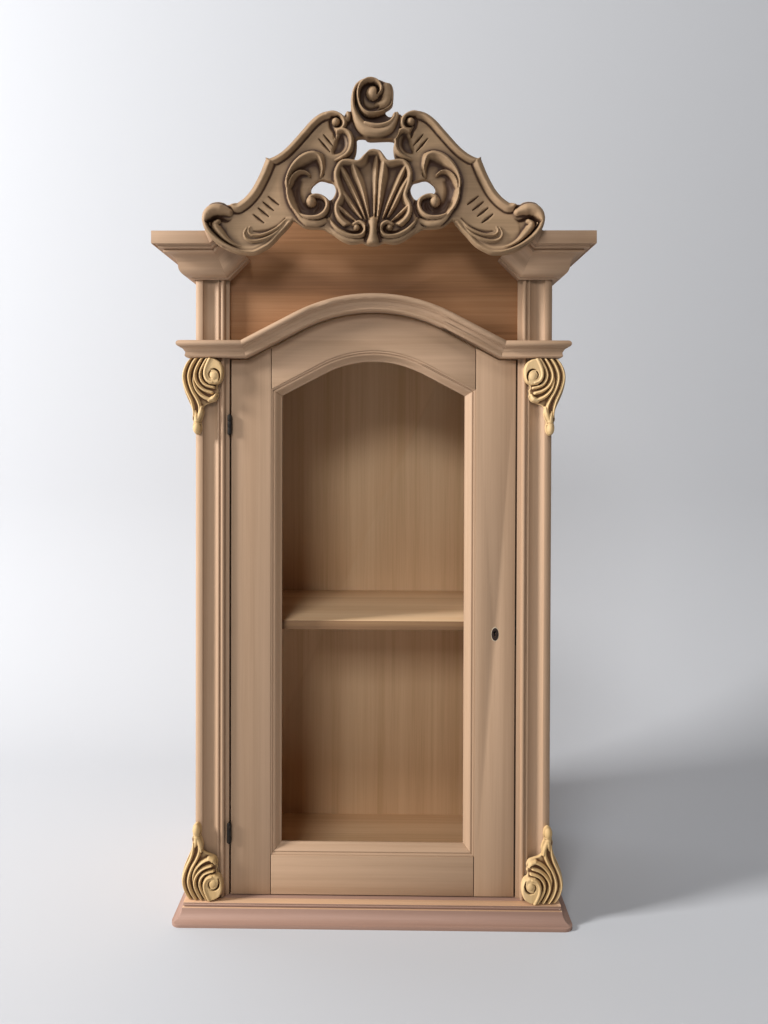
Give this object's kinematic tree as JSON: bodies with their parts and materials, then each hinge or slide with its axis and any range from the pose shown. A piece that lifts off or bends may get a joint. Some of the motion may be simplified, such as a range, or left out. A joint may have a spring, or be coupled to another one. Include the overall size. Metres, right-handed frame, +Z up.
{
  "type": "wall cabinet",
  "caption": "Small baroque wall cabinet in bare wood with an arched frame door, moulded pilasters, a broken cornice and a carved shell crest.",
  "frame": {"origin": "middle of the footprint at the height of the floor face", "axes": "+Z up, the door faces -Y, +X to the right of a person who looks at the door"},
  "size_m": [0.5622, 0.3254, 1.0865],
  "materials": {
    "case_board": "raw, planed",
    "bare_pine": "raw, planed",
    "carved_crest_wood": "raw, carved",
    "frieze_wood": "raw, planed",
    "beech": "raw, planed",
    "carving_limewood": "raw, carved",
    "aged_brass": "dull, darkened",
    "lock_steel": "dull",
    "dark_inlay": "dark, oiled"
  },
  "bodies": {
    "case": {"left_side": "case_board", "right_side": "case_board", "top_board": "case_board", "bottom_board": "case_board", "back_panel": "case_board", "shelf": "case_board", "shelf_pins": "aged_brass", "hanging_rail": "case_board", "base_rail": "beech", "left_frame_stile": "bare_pine", "lower_right_frame_stile": "bare_pine", "upper_right_frame_stile": "bare_pine", "strike_block": "bare_pine", "frieze_board": "frieze_wood", "left_pilaster": "bare_pine", "right_pilaster": "bare_pine", "plinth_front": "beech", "left_plinth_return": "beech", "right_plinth_return": "beech", "arch_moulding": "bare_pine", "left_mid_moulding": "bare_pine", "right_mid_moulding": "bare_pine", "left_mid_return": "bare_pine", "right_mid_return": "bare_pine", "left_cornice": "bare_pine", "right_cornice": "bare_pine", "left_cornice_return": "bare_pine", "right_cornice_return": "bare_pine", "left_cornice_rake": "bare_pine", "right_cornice_rake": "bare_pine", "crest": "carved_crest_wood", "upper_left_carving": "carving_limewood", "upper_right_carving": "carving_limewood", "lower_left_carving": "carving_limewood", "lower_right_carving": "carving_limewood", "door_stop": "bare_pine", "strike_plate": "lock_steel", "hinge_frame_leaves": "aged_brass", "hinge_pins": "aged_brass", "frame_hinge_screws": "aged_brass"},
    "door": {"hinge_stile": "bare_pine", "lock_stile": "bare_pine", "top_rail": "bare_pine", "bottom_rail": "bare_pine", "left_door_bead": "bare_pine", "right_door_bead": "bare_pine", "bottom_door_bead": "bare_pine", "arch_door_bead": "bare_pine", "hinge_door_leaves": "aged_brass", "door_hinge_screws": "aged_brass", "keyhole_inlay": "dark_inlay", "lock_case": "lock_steel", "lock_cover": "lock_steel", "lock_spring": "lock_steel", "lock_face_screws": "lock_steel"},
    "bolt": {"lock_bolt": "aged_brass"}
  },
  "joints": [
    {"name": "door_hinge", "type": "hinge", "parent": "case", "child": "door", "pos_m": [-0.19025, -0.09165, 0.382], "axis": [0, 0, -1], "range_deg": [0, 110]},
    {"name": "lock_bolt_slide", "type": "slide", "parent": "door", "child": "bolt", "axis": [1, 0, 0], "range_m": [0, 0.007]}
  ]
}
